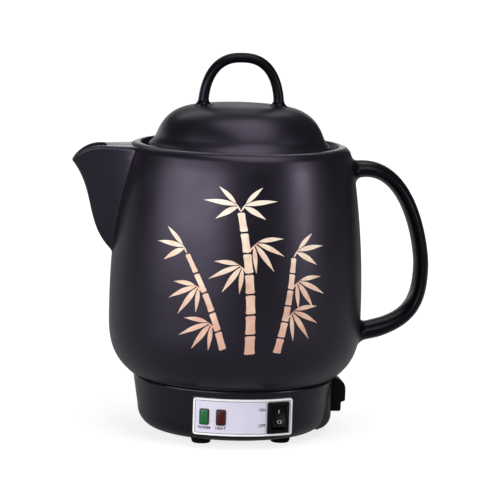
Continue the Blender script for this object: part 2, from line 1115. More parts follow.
    def hollow(self) -> list[list[Vector]]:
        """Rings of the channel inside the beak, up to the roof's underside and out through the mouth."""
        levels, columns, lead = 40, 40, 12.0
        through, over = 4.5, 3.0
        under = self.top_z - self.wall
        mouth_x = self.pot.neck_r + self.mouth_run
        heights = [(blend(self.low_z + lead, under, k / levels), 0.0) for k in range(levels + 1)]
        heights += [(under + 0.01, mouth_x), (self.top_z + over, mouth_x)]
        rings = []
        for z, least in heights:
            inset = self.lip if least else self.wall
            half = self.half_at(least, z, inset) if least else self.width / 2 - inset
            side = [half * (2 * i / columns - 1) for i in range(columns + 1)]
            rear = [(max(self.pot_x(y, z) - through, least), y) for y in reversed(side)]
            front = [(max(self.nose_x(y, z, inset), self.pot_x(y, z) + 0.2, least + 0.2), y) for y in side]
            rings.append([Vector((self.pot.axis_x - x, y, z)) for x, y in front + rear])
        return rings


@dataclass(frozen=True)
class StrapForm:
    """Strap of oval section along a curve in the XZ plane, with soft roots on what carries it.

    Attributes:
        curve: Gives the place in millimetres for a share along the strap.
        thick: Gives the thickness for a share.
        wide: Gives the width for a share.
        above: Gives the distance of a place from the face that carries the strap.
        onto: Moves a place to a distance from that face.
        fillet: Radius of the soft roots.
        step: Distance between rings away from the roots.
        sides: Points of one ring.
    """

    curve: Callable[[float], Vector]
    thick: Callable[[float], float]
    wide: Callable[[float], float]
    above: Callable[[Vector], float]
    onto: Callable[[Vector, float], Vector]
    fillet: float = 5.0
    step: float = 2.4
    sides: int = 40

    def grown(self, distance: float) -> float:
        """How much the section grows at a distance from the face."""
        rest = max(self.fillet - max(distance, 0.0), 0.0)
        return self.fillet - math.sqrt(self.fillet ** 2 - rest ** 2)

    def shares(self) -> list[float]:
        """Places of the rings: close together at the roots, wider apart between them."""
        samples = 1600
        chosen, last = [], None
        for i in range(samples + 1):
            place = self.curve(i / samples)
            distance = self.above(place)
            if distance < -0.8:
                continue
            near = self.step if distance > 1.4 * self.fillet else 0.12 + 0.12 * max(distance, 0.0)
            if last is None or (place - last).length >= near:
                chosen.append(i / samples)
                last = place
        return chosen

    def rings(self) -> list[list[Vector]]:
        """Rings of the strap from one root to the other."""
        tiny = 0.002
        rings = []
        for share in self.shares():
            middle = self.curve(share)
            way = (self.curve(min(share + tiny, 1)) - self.curve(max(share - tiny, 0))).normalized()
            side = Vector((way.z, 0, -way.x))
            distance = self.above(middle)
            grown = self.grown(distance)
            hold = 1 - ease((distance - self.fillet) / (1.5 * self.fillet))
            ring = []
            for i in range(self.sides):
                turn = 2 * math.pi * i / self.sides
                flat = side * math.cos(turn) * (self.thick(share) / 2 + grown)
                place = middle + flat + Vector((0, math.sin(turn) * (self.wide(share) / 2 + grown), 0))
                ring.append(place.lerp(self.onto(place, distance), hold))
            rings.append(ring)
        return rings


@dataclass(frozen=True)
class Pot:
    """Glazed pot with its spout and its handle.

    Attributes:
        form: Shape of the pot.
        spout: Shape of the spout.
        glaze: Its finish.
        grip: Finish of the handle.
        pool: Finish of the level rim and roof.
        handle_t: Thickness of the handle.
        handle_w: Width of the handle.
        handle_top: Height of the upper root above the foot.
        handle_mid: Height of the widest place above the foot.
        handle_low: Height of the lower root above the foot.
        strain_d: Diameter of a strainer hole.
        strain_drop: Depth of the strainer's middle below the rim.
    """

    form: PotForm
    spout: SpoutForm
    glaze: Finish
    grip: Finish
    pool: Finish
    handle_t: float = 10.0
    handle_w: float = 27.0
    handle_top: float = 144.5
    handle_mid: float = 78.5
    handle_low: float = 29.5
    strain_d: float = 6.0
    strain_drop: float = 34.0

    def build(self) -> None:
        """Model the three glazed pieces."""
        self.body()
        self.beak()
        self.handle()

    def body(self) -> None:
        """Turn the wall and drill the strainer behind the spout."""
        piece = lathe("glazed_pot", self.form.outline(), self.form.axis_x, 160)
        pitch = 1.45 * self.strain_d
        z = self.form.rim_z - self.strain_drop
        start = Vector((self.form.axis_x - self.form.belly_r, 0, z))
        drill = rod("drill", self.strain_d / 2, start, start + Vector((4 * self.form.wall, 0, 0)), 32)
        ring = [math.radians(60 * i) for i in range(6)]
        moves = [Matrix.Translation((0, pitch * MM * math.sin(t), pitch * MM * math.cos(t))) for t in ring]
        others = [twin(drill, "drill", move) for move in moves]
        cut(piece, join(drill, *others))
        self.glazed(piece, self.form.rim_z)
        dress(piece, None, Body.KETTLE, Slot.GLAZE, ["pot_body"])

    def glazed(self, piece: Piece, level: float) -> None:
        """Coat a piece with glaze that lies smooth where its top is level.

        Args:
            piece: The piece.
            level: Height of the level top.
        """
        flat, lowest = 0.93, (level - 1) * MM
        piece.data.materials.append(self.glaze.material())
        coat(piece, self.pool.material(), lambda face: face.normal.z > flat and face.center.z > lowest)

    def beak(self) -> None:
        """Skin the spout and hollow it out."""
        edge, levels, turns = 2.4, 72, 10
        rings = [self.spout.ring(k / levels, 0, edge) for k in range(levels + 1)]
        for k in range(1, turns + 1):
            turn = math.pi / 2 * k / turns
            rings.append(self.spout.ring(1, edge * (1 - math.cos(turn)), edge * (1 - math.sin(turn))))
        inner = self.spout.width / 2 - 1
        rings += [self.spout.ring(1, blend(edge, inner, k / 8), 0) for k in range(1, 9)]
        piece = loft("glazed_spout", rings)
        cut(piece, loft("channel", self.spout.hollow()))
        self.glazed(piece, self.spout.top_z)
        dress(piece, None, Body.KETTLE, Slot.GLAZE, ["pot_spout"], 50)

    def handle(self) -> None:
        """Sweep the handle between its two roots."""
        form = self.form
        grip_x = NodeBox.of("pot_handle").high.x - form.axis_x - self.handle_t / 2
        top = Vector((form.neck_r - form.wall / 2, 0, form.foot_z + self.handle_top))
        mid = Vector((grip_x, 0, form.foot_z + self.handle_mid))
        low = Vector((form.belly_r - 5, 0, form.foot_z + self.handle_low))
        top_pull, low_pull = Vector((44, 0, 15)), Vector((41, 0, 6))
        pull_up, pull_down = Vector((0, 0, 13)), Vector((0, 0, 28))
        upper = [top, top + top_pull, mid + pull_up, mid]
        lower = [mid, mid - pull_down, low + low_pull, low]
        root_t, low_t, root_w = 2.5, 2.0, 4.0

        def curve(share: float) -> Vector:
            place = bezier(upper, 2 * share) if share < 0.5 else bezier(lower, 2 * share - 1)
            return place + Vector((form.axis_x, 0, 0))

        def thick(share: float) -> float:
            end = abs(2 * share - 1)
            return self.handle_t + root_t * end ** 4 + (low_t * end * end if share > 0.5 else 0)

        def wide(share: float) -> float:
            return self.handle_w + root_w * abs(2 * share - 1) ** 6

        def above(place: Vector) -> float:
            return place.x - form.axis_x - form.outer_r(place.z)

        def onto(place: Vector, distance: float) -> Vector:
            radius = form.outer_r(place.z)
            reach = math.sqrt(max(radius * radius - place.y * place.y, 0.0))
            return Vector((form.axis_x + reach + distance, place.y, place.z))

        strap = StrapForm(curve, thick, wide, above, onto)
        piece = loft("glazed_handle", strap.rings())
        dress(piece, self.grip.material(), Body.KETTLE, Slot.GLAZE, ["pot_handle"], 60)


@dataclass(frozen=True)
class Lid:
    """Domed lid with a looped grip.

    Attributes:
        axis_x: Place of the lid's axis.
        seat_z: Height of its seat.
        crown_z: Height of its crown.
        edge_r: Radius of its edge.
        loop_z: Height of the loop's top.
        glaze: Its finish.
        grip: Finish of the loop.
        wall: Thickness of the shell.
        skirt_r: Radius of the skirt in the mouth.
        skirt_d: Depth of the skirt.
        skirt_t: Thickness of the skirt.
        loop_w: Width over the loop's feet.
        loop_t: Thickness of the loop.
        loop_depth: Depth of the loop from front to back.
    """

    axis_x: float
    seat_z: float
    crown_z: float
    edge_r: float
    loop_z: float
    glaze: Finish
    grip: Finish
    wall: float = 4.5
    skirt_r: float = 56.8
    skirt_d: float = 8.0
    skirt_t: float = 3.5
    loop_w: float = 60.8
    loop_t: float = 7.0
    loop_depth: float = 10.0

    @classmethod
    def from_frame(cls, glaze: Finish, grip: Finish) -> "Lid":
        """Take place, height and width from the lid's CAD nodes.

        Args:
            glaze: Finish of the dome.
            grip: Finish of the loop.

        Returns:
            The lid.
        """
        dome, loop = NodeBox.of("lid_dome"), NodeBox.of("lid_loop")
        seat = dome.low.z + cls.skirt_d
        return cls(dome.middle.x, seat, dome.high.z, dome.size.x / 2, loop.high.z, glaze, grip)

    def crown_at(self, radius: float, inset: float = 0.0) -> float:
        """Height of the dome at a radius.

        Args:
            radius: The radius.
            inset: Distance inside the outer face.

        Returns:
            The height.
        """
        height = self.crown_z - self.seat_z + 0.6
        reach = self.edge_r - 2.8 - inset
        share = min(radius / reach, 1.0)
        return self.crown_z - inset - height + height * math.sqrt(1 - share ** 4.8)

    def build(self) -> None:
        """Model the dome and the loop."""
        self.dome()
        self.loop()

    def dome(self) -> None:
        """Turn the dome with its flared edge and its skirt."""
        steps = 40
        side_r = self.edge_r - 5.4
        inner_r = self.skirt_r - self.skirt_t - 1
        top = [side_r * math.sin(math.pi / 2 * i / steps) for i in range(steps + 1)]
        under = [inner_r * math.sin(math.pi / 2 * i / steps) for i in range(steps, -1, -1)]
        low = self.seat_z - self.skirt_d
        flare, flare_r = (self.edge_r + 7.66, self.seat_z + 20.45), 13.8
        edge, edge_h, foot, soft, end = 1.6, 8.1, 1.0, 0.8, 1.4
        outline = [
            *((r, self.crown_at(r)) for r in top),
            *arc(flare, flare_r, 199.5, 233.2, 10),
            *arc((self.edge_r - edge, self.seat_z + edge_h), edge, 53, 0, 6),
            *arc((self.edge_r - foot, self.seat_z + foot), foot, 0, -90, 4),
            *arc((self.skirt_r + soft, self.seat_z - soft), soft, 90, 180, 3),
            *arc((self.skirt_r - soft - end, low + end), end, 0, -90, 4),
            (self.skirt_r - self.skirt_t, low),
            *((r, self.crown_at(r, self.wall)) for r in under),
        ]
        piece = lathe("lid_dome_glazed", outline, self.axis_x, 160)
        dress(piece, self.glaze.material(), Body.LID, Slot.GLAZE, ["lid_dome"])

    def loop(self) -> None:
        """Sweep the loop between its two feet on the dome."""
        half = (self.loop_w - self.loop_t) / 2
        foot_z = self.crown_z - 6
        rise = self.loop_z - self.loop_t / 2 - foot_z
        power = 2 / 2.45

        def curve(share: float) -> Vector:
            turn = math.pi * (1 - share)
            across = math.copysign(abs(math.cos(turn)) ** power, math.cos(turn))
            return Vector((self.axis_x + half * across, 0, foot_z + rise * abs(math.sin(turn)) ** power))

        def swell(share: float) -> float:
            return 1.5 * abs(2 * share - 1) ** 8

        def above(place: Vector) -> float:
            return place.z - self.crown_at(abs(place.x - self.axis_x))

        def onto(place: Vector, distance: float) -> Vector:
            radius = math.hypot(place.x - self.axis_x, place.y)
            return Vector((place.x, place.y, self.crown_at(radius) + distance))

        strap = StrapForm(curve, lambda s: self.loop_t + swell(s), lambda s: self.loop_depth + swell(s),
                          above, onto, fillet=4.0, step=1.6, sides=32)
        piece = loft("lid_loop_glazed", strap.rings())
        dress(piece, self.grip.material(), Body.LID, Slot.GLAZE, ["lid_loop"], 60)


@dataclass(frozen=True)
class Window:
    """Hole in the panel.

    Attributes:
        angle: Angle of its middle from the front, in degrees.
        size: Width and height.
        corner: Radius of its corners.
    """

    angle: float
    size: Point
    corner: float = 0.0


@dataclass(frozen=True)
class BaseForm:
    """Shape of the heater base, with its place and reach from the frame and the rest in millimetres.

    Attributes:
        axis_x: Place of the base's axis.
        low_z: Height of its underside.
        top_z: Height of its top.
        top_r: Largest radius.
        taper: How much narrower it is where the lower round starts.
        lower_round: Radius of the lower round.
        wall: Thickness of the wall.
        flange_r: Radius of the opening under the pot.
        flange_t: Thickness of the flange.
        cover_r: Radius of the bottom cover.
        cover_t: Thickness of the cover.
        ledge_w: Width of the ledge that holds the cover.
        panel_lift: Height of the control plate above the underside.
        panel_h: Height of the plate.
        panel_turn: Angle that the plate covers, in degrees.
        panel_t: Thickness of the plate.
        panel_back: How far the boss under the plate stands back from the largest radius.
    """

    axis_x: float
    low_z: float
    top_z: float
    top_r: float
    taper: float = 3.4
    lower_round: float = 15.0
    wall: float = 2.5
    flange_r: float = 57.0
    flange_t: float = 3.0
    cover_r: float = 40.0
    cover_t: float = 2.5
    ledge_w: float = 6.0
    panel_lift: float = 6.6
    panel_h: float = 25.5
    panel_turn: float = 57.8
    panel_t: float = 1.2
    panel_back: float = 0.3

    @classmethod
    def from_frame(cls) -> "BaseForm":
        """Take place, height and width from the base's CAD node."""
        box = NodeBox.of("base_shell")
        return cls(box.middle.x, box.low.z, box.high.z, box.size.x / 2)

    @property
    def panel_z(self) -> float:
        """Height of the plate's lower edge."""
        return self.low_z + self.panel_lift

    @property
    def panel_mid(self) -> float:
        """Height of the plate's middle."""
        return self.panel_z + self.panel_h / 2

    @property
    def boss_r(self) -> float:
        """Radius of the boss under the plate."""
        return self.top_r - self.panel_back

    @property
    def plate_r(self) -> float:
        """Radius of the plate's outer face."""
        return self.boss_r + self.panel_t

    def at(self, angle: float, radius: float, z: float) -> Vector:
        """Place by its angle from the front.

        Args:
            angle: Angle in degrees, positive to the right.
            radius: Distance from the axis.
            z: Height.

        Returns:
            The place.
        """
        turn = math.radians(angle)
        return Vector((self.axis_x + radius * math.sin(turn), -radius * math.cos(turn), z))

    def on_panel(self, angle: float) -> Matrix:
        """Frame square to the panel: X to the right, Y inwards, Z up, with its origin on the axis.

        Args:
            angle: Angle from the front in degrees.

        Returns:
            The frame, in millimetres.
        """
        lift = Matrix.Translation((self.axis_x, 0, self.panel_mid))
        return lift @ Matrix.Rotation(math.radians(angle), 4, "Z")

    def panel_block(self, name: str, window: Window, inner: float, outer: float) -> Piece:
        """Box square to the panel between two radii, with round corners.

        Args:
            name: Name of the box.
            window: Its angle, size and corners.
            inner: Radius of its inner face.
            outer: Radius of its outer face.

        Returns:
            The box.
        """
        place = self.on_panel(window.angle)
        wide, high = window.size
        piece = block(name, (wide, outer - inner, high), (0, -(inner + outer) / 2, 0), place)
        if window.corner:
            inwards = place.to_3x3() @ Vector((0, 1, 0))
            ends = [[piece.data.vertices[i].co for i in edge.vertices] for edge in piece.data.edges]
            ways = [(last - first).normalized() for first, last in ends]
            with picked(piece, Part.EDGES, lambda edge: abs(ways[edge.index].dot(inwards)) > 0.9):
                bpy.ops.mesh.bevel(offset=window.corner * MM, segments=6)
        return piece

    def opening(self, window: Window) -> Piece:
        """Solid that cuts one hole through the panel."""
        return self.panel_block("window", window, self.top_r - 22, self.plate_r + 5)

    def wrapped(self, piece: Piece, radius: float) -> None:
        """Bend a flat piece round the axis: its X becomes the way round, its Y the height, its Z the way out.

        Args:
            piece: The flat piece, with its origin at the panel's middle.
            radius: Radius at which its lengths stay true.
        """
        for vertex in piece.data.vertices:
            x, y, z = vertex.co / MM
            vertex.co = self.at(math.degrees(x / radius), radius + z, self.panel_mid + y) * MM

    def outline(self) -> list[Point]:
        """Closed outline of the shell, from the cover's opening round the outside and back inside."""
        edge = 1.8
        round_r = self.top_r - self.taper - self.lower_round
        round_z = self.low_z + self.lower_round
        lean = math.degrees(math.atan2(self.taper, self.top_z - round_z))
        cover_top = self.low_z + self.cover_t
        under = self.top_z - self.flange_t
        ring = 2.0
        return [
            (self.cover_r + 0.1, self.low_z),
            *arc((round_r, round_z), self.lower_round, -90, 0, 16),
            *arc((self.top_r - edge, self.top_z - edge), edge, -lean, 90, 6),
            (self.flange_r, self.top_z), (self.flange_r, under), (self.top_r - self.wall, under),
            *arc((round_r, round_z), self.lower_round - self.wall, 0, -90, 12),
            (self.cover_r + self.ledge_w / 2, cover_top + ring),
            (self.cover_r - self.ledge_w, cover_top + ring),
            (self.cover_r - self.ledge_w, cover_top), (self.cover_r + 0.1, cover_top),
        ]


@dataclass(frozen=True)
class Base:
    """Plastic shell of the heater base, with its boss, its feet and its power inlet.

    Attributes:
        form: Shape of the base.
        plastic: Finish of the shell.
        rubber: Finish of the feet.
        socket: Finish of the inlet.
        boss_edge: How far the boss stands out round the control plate.
        inlet_fit: Width and height of the hole for the inlet.
    """

    form: BaseForm
    plastic: Finish
    rubber: Finish
    socket: Finish
    boss_edge: float = 1.0
    inlet_fit: Point = (16.2, 17.2)

    def build(self, windows: Sequence[Window]) -> None:
        """Model the shell, the boss, the feet and the inlet.

        Args:
            windows: The holes in the panel.
        """
        self.shell(windows)
        self.boss(windows)
        self.feet()
        self.inlet_field()
        self.inlet()

    def shell(self, windows: Sequence[Window]) -> None:
        """Turn the shell and cut its holes."""
        form = self.form
        piece = lathe("base_shell_gloss", form.outline(), form.axis_x, 160)
        cut(piece, self.inlet_hole(), *map(form.opening, windows))
        dress(piece, self.plastic.material(), Body.KETTLE, Slot.BASE, ["base_shell"])

    def boss(self, windows: Sequence[Window]) -> None:
        """Model the raised field that carries the control plate."""
        form, steps = self.form, 40
        half = form.panel_turn / 2 + self.boss_edge
        low, high = form.panel_z - self.boss_edge, form.panel_z + form.panel_h + self.boss_edge
        inner = form.top_r - form.taper - 2 * form.wall
        corners = [(inner, low), (form.boss_r, low), (form.boss_r, high), (inner, high)]
        rings = [[form.at(blend(-half, half, i / steps), r, z) for r, z in corners] for i in range(steps + 1)]
        piece = loft("panel_boss", rings)
        round_edges(piece, 0.5, 3)
        cut(piece, *map(form.opening, windows))
        dress(piece, self.plastic.material(), Body.KETTLE, Slot.BASE)

    def feet(self) -> None:
        """Turn one rubber foot with its stem and copy it to the four corners."""
        corners = ("front_left", "front_right", "rear_left", "rear_right")
        boxes = [NodeBox.of(f"foot_{corner}") for corner in corners]
        first = boxes[0]
        radius, top, soft, stem = first.size.x / 2 + 0.8, self.form.low_z, 1.2, 2.4
        outline = [
            (0, 0), *arc((radius - 0.7 - soft, soft), soft, -90, 0, 5),
            (radius, top - 0.6), (radius - 0.3, top), (stem, top), (stem, first.high.z), (0, first.high.z),
        ]
        model = lathe("rubber_foot", outline, 0, 48)
        for corner, box in zip(corners, boxes):
            move = Matrix.Translation((box.middle.x * MM, box.middle.y * MM, 0))
            piece = twin(model, f"rubber_foot_{corner}", move)
            dress(piece, self.rubber.material(), Body.KETTLE, Slot.FOOT, [f"foot_{corner}"])
        bpy.data.objects.remove(model)

    def inlet_hole(self) -> Piece:
        """Solid that cuts the hole for the inlet."""
        inlet = NodeBox.of("inlet_housing")
        wide, high = self.inlet_fit
        return block("inlet_hole", (40, wide, high), (inlet.low.x + 20, 0, inlet.low.z + 0.9 + high / 2))

    def inlet_field(self) -> None:
        """Model the raised field that carries the inlet."""
        form, steps, half, sunk = self.form, 36, 24.0, 3.6
        inner, outer = form.top_r - form.taper - 2 * form.wall, form.top_r - 0.2
        turn, low, high, slant = 11.0, form.low_z + 1.0, form.top_z - 5.0, 3.0
        corners = [(inner, low), *arc((outer - turn, low + turn), turn, -80, 0, 10),
                   (outer, high), (inner, high + slant)]
        rings = []
        for i in range(steps + 1):
            away = 2 * i / steps - 1
            back = sunk * (1 - ease(2.4 * (1 - abs(away))))
            rings.append([form.at(90 + half * away, r - back, z + back / 2) for r, z in corners])
        piece = loft("inlet_field", rings)
        round_edges(piece, 1.2, 4)
        cut(piece, self.inlet_hole())
        dress(piece, self.plastic.material(), Body.KETTLE, Slot.BASE)

    def inlet(self) -> None:
        """Model the inlet's collar, its body in the shell and its socket."""
        box = NodeBox.of("inlet_housing")
        wide, high = self.inlet_fit
        fit, step, step_h, lip, turn, soft = 0.1, 3.0, 7.0, 1.5, 8.0, 1.6
        low = box.low.z + 0.9
        reach, top = box.high.x + 0.8, box.high.z + 1.8
        wall_x = self.form.axis_x + self.form.top_r - 2 * self.form.taper
        side = [
            (wall_x, box.low.z), *arc((reach - step - soft, box.low.z + soft), soft, -90, 0, 5),
            (reach - step, box.low.z + step_h),
            *arc((reach - soft, box.low.z + step_h + soft), soft, -90, 0, 5),
            *arc((reach - turn, top - turn), turn, 0, 90, 12), (wall_x, top),
        ]
        rings = [[Vector((x, y, z)) for x, z in side] for y in (box.low.y, box.high.y)]
        collar = loft("inlet_collar", rings)
        round_edges(collar, 1.4, 4, 60)
        body = block("inlet_body", (wall_x + 2 - box.low.x, wide - 2 * fit, high - 2 * fit),
                     ((wall_x + 2 + box.low.x) / 2, 0, low + high / 2))
        fuse(collar, body)
        cut(collar, block("socket", (40, wide - 2 * lip - 2 * fit, high - 2 * lip - 2 * fit),
                          (box.low.x + 26, 0, low + high / 2)))
        settle(collar, "inlet_collar")
        dress(collar, self.socket.material(), Body.KETTLE, Slot.INLET, ["inlet_housing"])


@dataclass(frozen=True)
class Lamp:
    """One signal lamp in the panel.

    Attributes:
        name: Name of its lens in the frame.
        angle: Angle from the front in degrees.
        tint: Finish of the lens.
        slot: Material slot of the record.
        label: Word under the lamp.
    """

    name: str
    angle: float
    tint: Finish
    slot: Slot
    label: str


@dataclass(frozen=True)
class LampRow:
    """Signal lamps that share one lens.

    Attributes:
        base: Shape of the base.
        dark: Finish of the frame round each lens.
        lamps: The lamps.
        size: Width and height of the lens.
        proud: How far it stands out of the plate.
        back: How far it reaches inwards from the boss.
        frame: Width of the dark frame round its face.
        corner: Radius of its corners.
    """

    base: BaseForm
    dark: Finish
    lamps: Sequence[Lamp]
    size: Point = (6.8, 11.2)
    proud: float = 0.8
    back: float = 13.0
    frame: float = 0.75
    corner: float = 1.3

    def lens(self) -> Piece:
        """Model the lens at the front's middle, with its dark frame.

        Returns:
            The lens.
        """
        dome = 0.25
        inner, outer = self.base.boss_r - self.back, self.base.plate_r + self.proud
        piece = self.base.panel_block("lens", Window(0, self.size, self.corner), inner, outer)
        piece.data.materials.append(self.dark.material())
        piece.data.materials.append(None)
        with picked(piece, Part.FACES, lambda f: f.normal.y < -0.9):
            bpy.ops.mesh.inset(thickness=self.frame * MM)
            piece.active_material_index = 1
            bpy.ops.object.material_slot_assign()
            bpy.ops.mesh.inset(thickness=2 * dome * MM, depth=dome * MM)
        round_edges(piece, dome, 3, 60)
        return piece

    def windows(self, fit: float) -> list[Window]:
        """Holes for the lenses.

        Args:
            fit: How much larger than the lens they are.

        Returns:
            One hole for each lamp.
        """
        wide, high = self.size
        return [Window(lamp.angle, (wide + fit, high + fit), self.corner + fit / 2) for lamp in self.lamps]

    def build(self) -> None:
        """Model one lens and copy it to each lamp."""
        model = self.lens()
        middle = self.base.on_panel(0).inverted()
        for lamp in self.lamps:
            move = self.base.on_panel(lamp.angle) @ middle
            move.translation *= MM
            piece = twin(model, f"{lamp.name}_tinted", move)
            piece.data.materials[1] = lamp.tint.material()
            dress(piece, None, Body.KETTLE, lamp.slot, [lamp.name])
        bpy.data.objects.remove(model)


@dataclass(frozen=True)
class ControlPlate:
    """Foil plate with a white frame, wrapped on the boss, and the words printed on it.

    Attributes:
        base: Shape of the base.
        frame: Finish of the white frame.
        line: Finish of the thin line inside it.
        field: Finish of the plate's field.
        ink: Finish of the words.
        corner: Radius of the corners.
        frame_w: Width of the frame.
        line_w: Width of the line.
        word_h: Height of the letters.
        word_bold: How far the letters' edges are moved out.
    """

    base: BaseForm
    frame: Finish
    line: Finish
    field: Finish
    ink: Finish
    corner: float = 1.8
    frame_w: float = 1.3
    line_w: float = 0.4
    word_h: float = 2.0
    word_bold: float = 0.09

    def build(self, windows: Sequence[Window], seat: Window, seat_r: float) -> None:
        """Model the plate.

        Args:
            windows: The holes in it.
            seat: Outline of the flat seat of the switch.
            seat_r: Radius of that seat.
        """
        base = self.base
        length = math.radians(base.panel_turn) * base.plate_r
        deselect()
        bpy.ops.mesh.primitive_plane_add(size=1)
        piece = settle(bpy.context.object, "control_plate_foil")
        piece.data.transform(Matrix.Diagonal((length * MM, base.panel_h * MM, 1, 1)))
        for finish in (self.frame, self.line, self.field):
            piece.data.materials.append(finish.material())
        columns = 44
        with editing(piece):
            bpy.ops.mesh.bevel(offset=self.corner * MM, segments=5, affect="VERTICES")
            bpy.ops.mesh.select_mode(type="FACE")
            for number, width in ((1, self.frame_w), (2, self.line_w)):
                bpy.ops.mesh.inset(thickness=width * MM)
                piece.active_material_index = number
                bpy.ops.object.material_slot_assign()
            for i in range(1, columns):
                bpy.ops.mesh.select_all(action="SELECT")
                at = blend(-0.5, 0.5, i / columns) * length * MM
                bpy.ops.mesh.bisect(plane_co=(at, 0, 0), plane_no=(1, 0, 0))
        base.wrapped(piece, base.plate_r)
        use_modifier(piece, "SOLIDIFY", thickness=base.panel_t * MM, offset=-1)
        tidy_faces(piece)
        cut(piece, *map(base.opening, windows), base.panel_block("seat", seat, seat_r, base.plate_r + 5))
        dress(piece, None, Body.KETTLE, Slot.PANEL, ["control_plate"])

    def word(self, text: str, angle: float, rise: float) -> None:
        """Print one word on the plate.

        Args:
            text: The word.
            angle: Angle of its middle from the front, in degrees.
            rise: Height of its middle above the plate's middle.
        """
        deselect()
        bpy.ops.object.text_add()
        piece = bpy.context.object
        piece.data.body = text
        piece.data.align_x = "CENTER"
        piece.data.align_y = "CENTER"
        body_over_capital = 1.45
        piece.data.size = body_over_capital * self.word_h * MM
        piece.data.offset = self.word_bold * MM
        bpy.ops.object.convert(target="MESH")
        piece = settle(bpy.context.object, f"word_{text.lower()}")
        shift = math.radians(angle) * self.base.plate_r
        lift = 0.03
        piece.data.transform(Matrix.Translation((shift * MM, rise * MM, lift * MM)))
        self.base.wrapped(piece, self.base.plate_r)
        dress(piece, self.ink.material(), Body.KETTLE)


@dataclass(frozen=True)
class RockerSwitch:
    """Panel switch with a tilting rocker.

    Attributes:
        base: Shape of the base.
        angle: Angle from the front in degrees.
        pivot_r: Distance of the pivot from the axis.
        plastic: Finish of the housing.
        key: Finish of the rocker.
        mark: Finish of the marks on the rocker.
        bezel: Width and height of the bezel.
        bezel_t: Thickness of the bezel.
        body: Width and height of the body behind it.
        window: Width and height of the opening for the rocker.
        pivot_in: Depth of the pivot behind the bezel's face.
        cavity: Depth of the room behind the pivot.
        back_t: Thickness of the back wall.
        tilt: Full tilt of the rocker in degrees.
        gap: Room round the rocker.
    """

    base: BaseForm
    angle: float
    pivot_r: float
    plastic: Finish
    key: Finish
    mark: Finish
    bezel: Point = (16.6, 21.7)
    bezel_t: float = 2.2
    body: Point = (13.4, 19.4)
    window: Point = (10.4, 16.8)
    pivot_in: float = 4.5
    cavity: float = 15.0
    back_t: float = 1.5
    tilt: float = 18.0
    gap: float = 0.4

    @classmethod
    def from_frame(cls, base: BaseForm, plastic: Finish, key: Finish, mark: Finish) -> "RockerSwitch":
        """Take the pivot's place from the rocker's joint.

        Args:
            base: Shape of the base.
            plastic: Finish of the housing.
            key: Finish of the rocker.
            mark: Finish of its marks.

        Returns:
            The switch.
        """
        joint = next(j for j in frame["joints"] if j["name"] == "rocker_tilt")
        axis, place = joint["axis"], joint["pos_m"]
        reach = math.hypot(place[0] / MM - base.axis_x, place[1] / MM)
        return cls(base, math.degrees(math.atan2(axis[1], axis[0])), reach, plastic, key, mark)

    @property
    def seat_r(self) -> float:
        """Radius of the flat seat of the bezel."""
        return self.pivot_r + self.pivot_in - self.bezel_t

    def place(self) -> Matrix:
        """Frame at the pivot: X along it, Y inwards, Z up."""
        return self.base.on_panel(self.angle) @ Matrix.Translation((0, -self.pivot_r, 0))

    def bar(self, name: str, width: float, run: Point, height: float) -> Piece:
        """Box in the switch's frame.

        Args:
            name: Name of the box.
            width: Width along the pivot.
            run: First and last depth.
            height: Height.

        Returns:
            The box.
        """
        return block(name, (width, run[1] - run[0], height), (0, (run[0] + run[1]) / 2, 0), self.place())

    def build(self) -> None:
        """Model the housing and the rocker."""
        self.housing()
        self.rocker()

    def housing(self) -> None:
        """Model the bezel and the body with its room for the rocker."""
        bore_r = 1.3
        face, back = -self.pivot_in, self.cavity + self.back_t
        piece = self.bar("switch_frame", self.bezel[0], (face, self.bezel_t + face), self.bezel[1])
        round_edges(piece, 0.8, 4)
        body = self.bar("body", self.body[0], (self.bezel_t / 2 + face, back), self.body[1])
        fuse(piece, body)
        room = self.bar("room", self.window[0], (2 * face, self.cavity), self.window[1])
        across = self.place() @ Vector((self.body[0], 0, 0)), self.place() @ Vector((-self.body[0], 0, 0))
        cut(piece, room, rod("bore", bore_r, *across))
        dress(piece, self.plastic.material(), Body.KETTLE, Slot.SWITCH, ["switch_housing"])

    def rocker(self) -> None:
        """Model the rocker as it rests, with its upper end pressed in."""
        half = math.radians(self.tilt / 2)
        end_y, end_z = -self.pivot_in, self.window[1] / 2 - self.gap
        tip_y = end_y * math.cos(half) - end_z * math.sin(half)
        tip_z = end_z * math.cos(half) + end_y * math.sin(half)
        dip_y = tip_y + tip_z * math.tan(half)
        hollow, skirt, pin_r, hub_r, push_r, push = 0.35, 2.0, 1.25, 2.5, 1.5, 6.0
        steps = 12
        face = []
        for i in range(2 * steps + 1):
            z = blend(tip_z, -tip_z, i / (2 * steps))
            share = abs(z) / tip_z
            face.append((blend(dip_y, tip_y, share) + 4 * hollow * share * (1 - share), z))
        back = [(tip_y + skirt, -tip_z), (-pin_r, -hub_r), (-pin_r, hub_r), (tip_y + skirt, tip_z)]
        turn = self.place() @ Matrix.Rotation(-half, 4, "X")
        wide = (self.window[0] - self.gap) / 2
        rings = [[turn @ Vector((x, y, z)) for y, z in face + back] for x in (-wide, wide)]
        piece = loft("rocker_key", rings)
        round_edges(piece, 0.45, 3, 30)
        hub = rod("hub", hub_r, turn @ Vector((-wide, 0, 0)), turn @ Vector((wide, 0, 0)))
        reach = self.body[0] / 2 - 0.3
        pin = rod("pin", pin_r, turn @ Vector((-reach, 0, 0)), turn @ Vector((reach, 0, 0)))
        foot = rod("push", push_r, turn @ Vector((0, 0, 0)), turn @ Vector((0, push - 0.4, 0)))
        round_edges(foot, 0.9, 4)
        settle(join(piece, hub, pin, foot), "rocker_key")
        dress(piece, self.key.material(), Body.ROCKER, Slot.SWITCH, ["switch_rocker"])
        self.marks(turn, dip_y, tip_y, tip_z)

